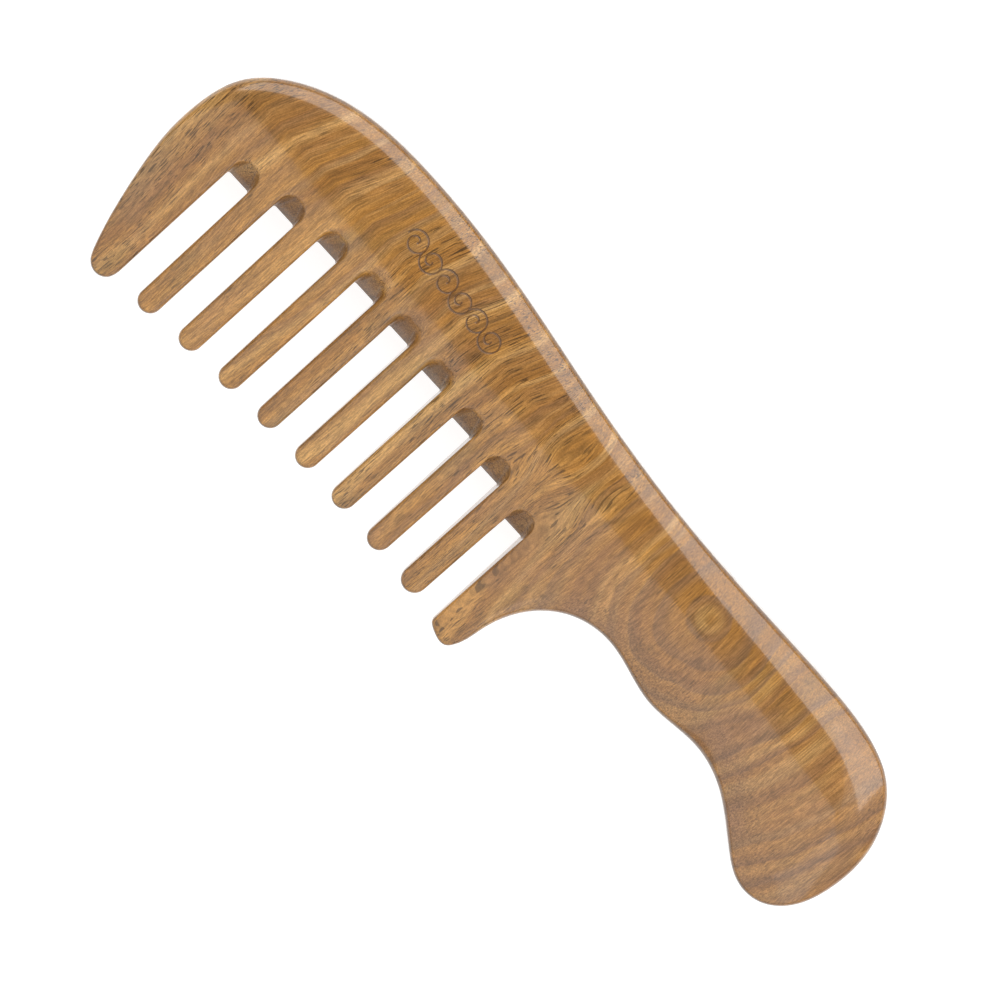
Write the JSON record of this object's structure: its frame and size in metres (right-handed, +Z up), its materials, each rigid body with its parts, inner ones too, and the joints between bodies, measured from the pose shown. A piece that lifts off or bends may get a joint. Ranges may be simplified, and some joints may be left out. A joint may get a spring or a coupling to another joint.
{
  "type": "wide tooth comb",
  "caption": "One-piece hardwood comb with widely spaced round-tipped teeth, wide guard teeth at both ends, scooped tooth roots and a curved palm-swell handle.",
  "frame": {"origin": "centre of the comb's footprint, on the surface that it lies on", "axes": "+X along the comb from the head end to the end of the handle, +Y from the tooth tips to the spine, +Z up through the thickness"},
  "size_m": [0.1998, 0.0616, 0.014],
  "materials": {
    "wood": "satin-polished oiled hardwood, golden brown with ochre and olive-brown growth bands"
  },
  "bodies": {
    "root": {"back": "wood", "handle": "wood", "head_guard_tooth": "wood", "handle_guard_tooth": "wood", "tooth_1": "wood", "tooth_2": "wood", "tooth_3": "wood", "tooth_4": "wood", "tooth_5": "wood", "tooth_6": "wood", "tooth_7": "wood", "tooth_8": "wood"}
  },
  "joints": []
}
